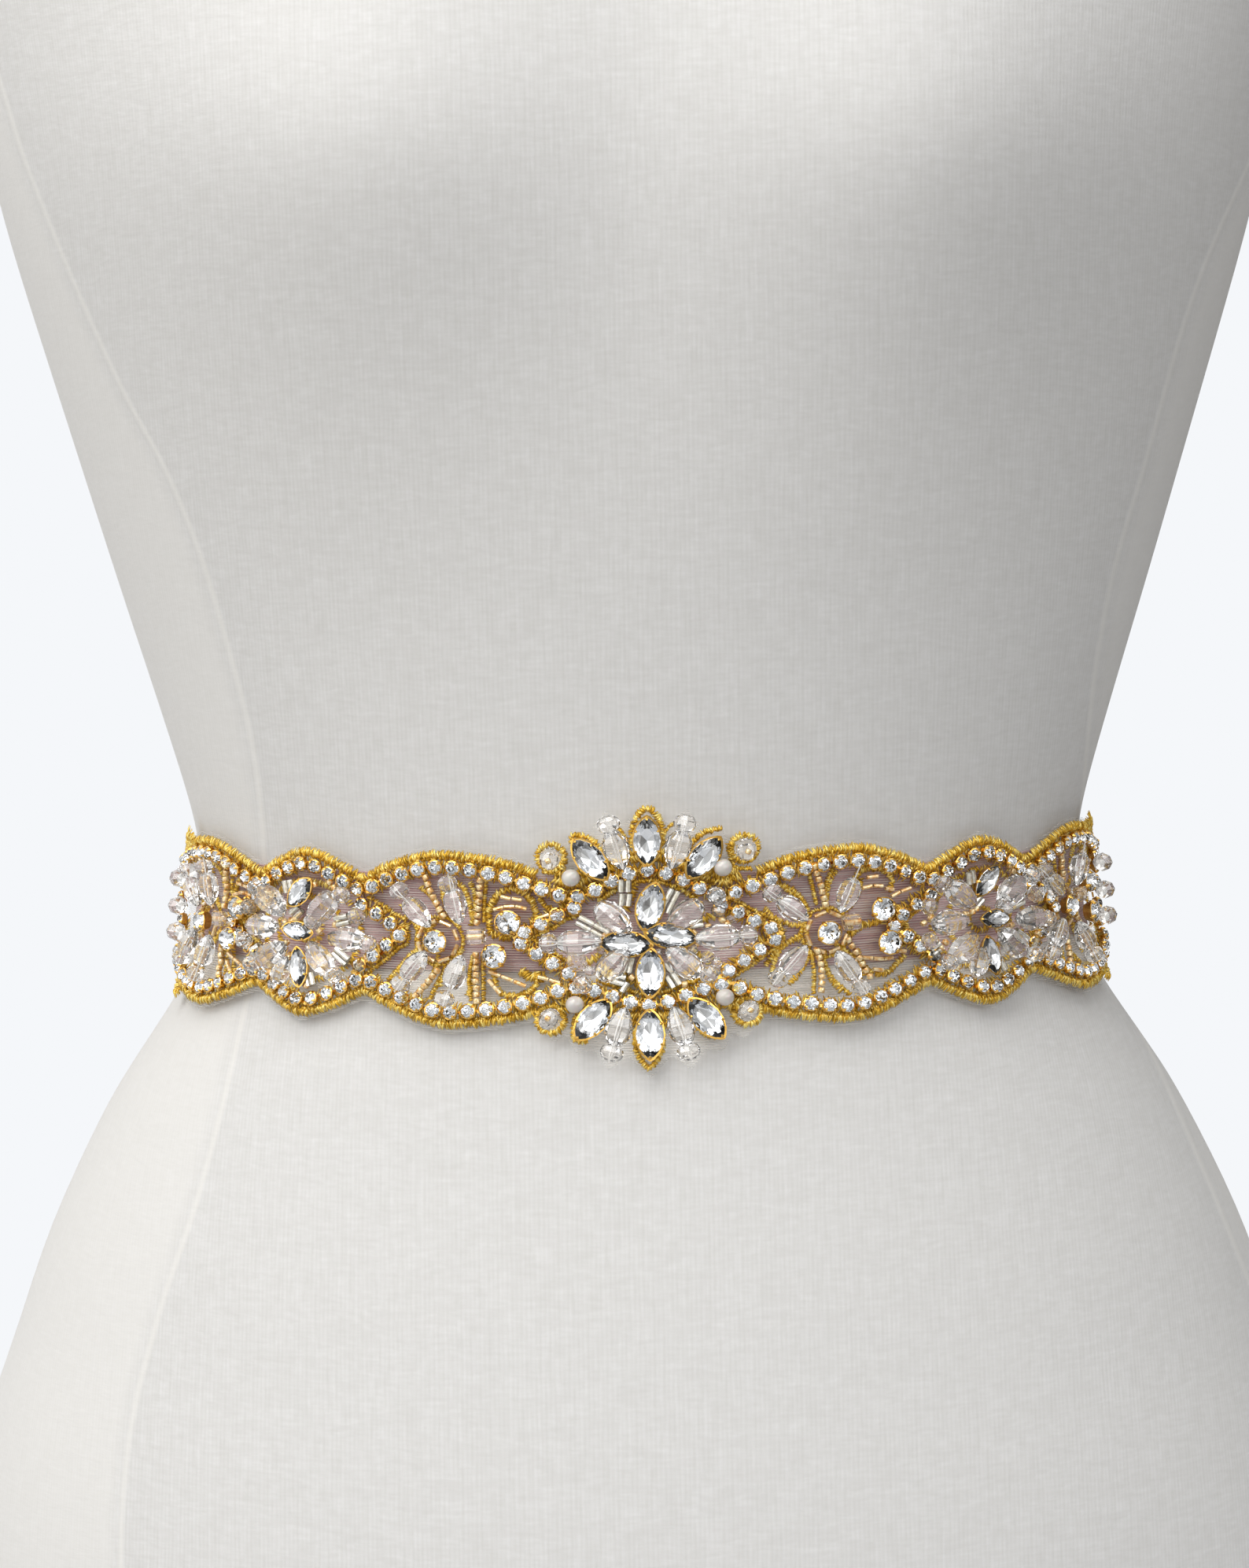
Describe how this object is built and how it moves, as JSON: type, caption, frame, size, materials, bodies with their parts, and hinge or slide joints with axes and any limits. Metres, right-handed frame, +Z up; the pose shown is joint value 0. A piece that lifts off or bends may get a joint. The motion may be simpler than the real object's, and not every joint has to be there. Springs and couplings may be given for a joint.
{
  "type": "bridal sash on a dress form",
  "caption": "Bridal sash: ribbon round the waist of a limbless dress form, with a scalloped net applique of gold embroidery, cup chain, crystals and pearls on its front half.",
  "frame": {"origin": "middle of the dress form's flat base, where it stands", "axes": "+Z up, -Y towards the front where the medallion is, +X to the viewer's right"},
  "size_m": [0.34, 0.2379, 0.65],
  "materials": {
    "jersey": "matt cotton jersey",
    "organza_ribbon": "soft satin sheen, ribbed",
    "net": "sheer",
    "gold_embroidery": "metallic thread",
    "gold_cup_chain": "bright gold plated",
    "crystal": "clear, cut and foil backed",
    "gold_lined_glass": "clear, gold lined",
    "pearl": "pearl lustre"
  },
  "bodies": {
    "root": {"dress_form": "jersey", "ribbon": "organza_ribbon", "net_applique": "net", "border_bottom_left": "gold_embroidery", "border_bottom_right": "gold_embroidery", "border_top_left": "gold_embroidery", "border_top_right": "gold_embroidery", "chain_bottom": "gold_cup_chain", "chain_point_centre_left": "gold_cup_chain", "chain_point_centre_right": "gold_cup_chain", "chain_point_inner_left": "gold_cup_chain", "chain_point_inner_right": "gold_cup_chain", "chain_point_outer_left": "gold_cup_chain", "chain_point_outer_right": "gold_cup_chain", "chain_top": "gold_cup_chain", "chaton_left_1": "crystal", "chaton_left_2": "crystal", "chaton_left_3": "crystal", "chaton_right_1": "crystal", "chaton_right_2": "crystal", "chaton_right_3": "crystal", "drop_corner_1": "crystal", "drop_corner_2": "crystal", "drop_corner_3": "crystal", "drop_corner_4": "crystal", "drop_fan_1": "crystal", "drop_fan_2": "crystal", "drop_fan_3": "crystal", "drop_fan_4": "crystal", "drop_level_1": "crystal", "drop_level_2": "crystal", "drop_oval_left_1": "crystal", "drop_oval_left_2": "crystal", "drop_oval_left_3": "crystal", "drop_oval_left_4": "crystal", "drop_oval_right_1": "crystal", "drop_oval_right_2": "crystal", "drop_oval_right_3": "crystal", "drop_oval_right_4": "crystal", "flower_left": "crystal", "flower_right": "crystal", "navette_centre_1": "crystal", "navette_centre_2": "crystal", "navette_centre_3": "crystal", "navette_centre_4": "crystal", "navette_fan_1": "crystal", "navette_fan_2": "crystal", "navette_fan_3": "crystal", "navette_fan_4": "crystal", "navette_fan_5": "crystal", "navette_fan_6": "crystal"}
  },
  "joints": []
}
